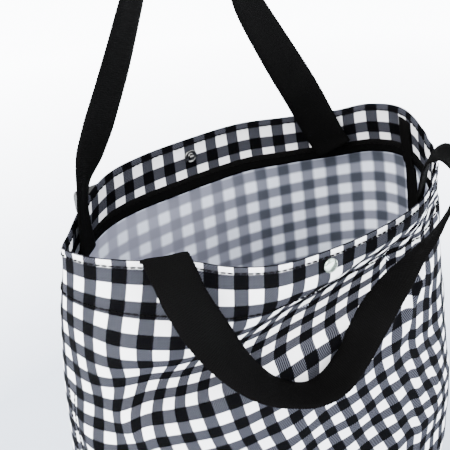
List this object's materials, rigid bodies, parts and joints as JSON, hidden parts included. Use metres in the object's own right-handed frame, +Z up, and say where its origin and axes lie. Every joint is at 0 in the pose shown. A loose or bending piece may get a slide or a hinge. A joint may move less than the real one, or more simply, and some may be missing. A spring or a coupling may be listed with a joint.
{
  "type": "folding shopping trolley",
  "caption": "Folding shopping trolley: an open tote bag with webbing handles on a flat two-wheel frame with a telescopic handle and a fold-up platform.",
  "frame": {"origin": "centre of the trolley's footprint on the ground", "axes": "+X right and -Y front as seen facing the bag's front, +Z up; ground at Z = 0"},
  "size_m": [0.3261, 0.313, 0.6852],
  "materials": {
    "gingham": "woven gingham, coated inside",
    "binding_tape": "woven tape",
    "webbing": "ribbed cotton webbing",
    "pearl_cap": "pearl enamel",
    "snap_metal": "plated",
    "aluminium_tube": "anodised",
    "steel": "zinc plated",
    "painted_steel": "powder coated",
    "tyre_rubber": "moulded",
    "foot_rubber": "moulded",
    "hub_plastic": "moulded",
    "bush_plastic": "acetal",
    "button_plastic": "moulded",
    "board": "textured sheet",
    "black_plastic": "fine grain"
  },
  "bodies": {
    "frame": {"outer_tube_left": "aluminium_tube", "outer_tube_right": "aluminium_tube", "lower_collar": "black_plastic", "axle_bracket": "black_plastic", "axle": "steel", "axle_cap_left": "black_plastic", "axle_cap_right": "black_plastic", "hinge_arm_left": "painted_steel", "hinge_arm_right": "painted_steel", "hinge_screws": "steel", "hinge_pin": "steel", "frame_loops_left": "webbing", "frame_loops_right": "webbing", "front_panel": "gingham", "back_panel": "gingham", "bottom_panel": "gingham", "front_facing": "gingham", "back_facing": "gingham", "front_binding": "binding_tape", "back_binding": "binding_tape", "seam_tape_left": "binding_tape", "seam_tape_right": "binding_tape", "front_handle": "webbing", "back_handle": "webbing", "snap_cap": "pearl_cap", "snap_socket": "snap_metal", "snap_stud": "snap_metal", "snap_post": "snap_metal"},
    "platform": {"platform": "black_plastic", "foot_pad_left": "foot_rubber", "foot_pad_right": "foot_rubber", "base_board": "board"},
    "middle_stage": {"middle_tube_left": "aluminium_tube", "middle_tube_right": "aluminium_tube", "middle_collar": "black_plastic", "middle_bush_left": "bush_plastic", "middle_bush_right": "bush_plastic"},
    "inner_stage": {"inner_tube_left": "aluminium_tube", "inner_tube_right": "aluminium_tube", "inner_bush_left": "bush_plastic", "inner_bush_right": "bush_plastic", "grip_front_shell": "black_plastic", "grip_back_shell": "black_plastic", "grip_screws": "steel", "button_spring": "steel"},
    "button": {"release_button": "button_plastic", "push_rod_left": "steel", "push_rod_right": "steel"},
    "pin_middle_left": {"lock_pin_middle_left": "steel"},
    "pin_middle_right": {"lock_pin_middle_right": "steel"},
    "pin_inner_left": {"lock_pin_inner_left": "steel"},
    "pin_inner_right": {"lock_pin_inner_right": "steel"},
    "wheel_left": {"tyre_left": "tyre_rubber", "wheel_hub_left": "hub_plastic", "hub_bush_left": "bush_plastic"},
    "wheel_right": {"tyre_right": "tyre_rubber", "wheel_hub_right": "hub_plastic", "hub_bush_right": "bush_plastic"}
  },
  "joints": [
    {"name": "platform_fold", "type": "hinge", "parent": "frame", "child": "platform", "pos_m": [0, 0.035, 0.066], "axis": [-1, 0, 0], "range_deg": [0, 90], "deforming": ["front_panel", "back_panel", "bottom_panel", "front_facing", "back_facing", "front_binding", "back_binding", "seam_tape_left", "seam_tape_right", "front_handle", "back_handle", "snap_cap", "snap_socket", "snap_stud", "snap_post"]},
    {"name": "middle_slide", "type": "slide", "parent": "frame", "child": "middle_stage", "axis": [0, 0, 1], "range_m": [0, 0.29]},
    {"name": "inner_slide", "type": "slide", "parent": "middle_stage", "child": "inner_stage", "axis": [0, 0, 1], "range_m": [0, 0.285]},
    {"name": "button_press", "type": "slide", "parent": "inner_stage", "child": "button", "axis": [0, 0, -1], "range_m": [0, 0.004], "stiffness_N_per_m": 900, "springref_m": -0.001, "deforming": ["button_spring"]},
    {"name": "pin_middle_left_draw", "type": "slide", "parent": "middle_stage", "child": "pin_middle_left", "axis": [1, 0, 0], "range_m": [0, 0.0012]},
    {"name": "pin_middle_right_draw", "type": "slide", "parent": "middle_stage", "child": "pin_middle_right", "axis": [-1, 0, 0], "range_m": [0, 0.0012]},
    {"name": "pin_inner_left_draw", "type": "slide", "parent": "inner_stage", "child": "pin_inner_left", "axis": [1, 0, 0], "range_m": [0, 0.0012]},
    {"name": "pin_inner_right_draw", "type": "slide", "parent": "inner_stage", "child": "pin_inner_right", "axis": [-1, 0, 0], "range_m": [0, 0.0012]},
    {"name": "wheel_left_spin", "type": "hinge", "parent": "frame", "child": "wheel_left", "pos_m": [-0.124, 0.107, 0.05], "axis": [1, 0, 0], "continuous": true},
    {"name": "wheel_right_spin", "type": "hinge", "parent": "frame", "child": "wheel_right", "pos_m": [0.124, 0.107, 0.05], "axis": [1, 0, 0], "continuous": true}
  ],
  "couplings": [
    {"joint": "pin_middle_left_draw", "follows": "button_press", "ratio": 0.3},
    {"joint": "pin_middle_right_draw", "follows": "button_press", "ratio": 0.3},
    {"joint": "pin_inner_left_draw", "follows": "button_press", "ratio": 0.3},
    {"joint": "pin_inner_right_draw", "follows": "button_press", "ratio": 0.3}
  ]
}
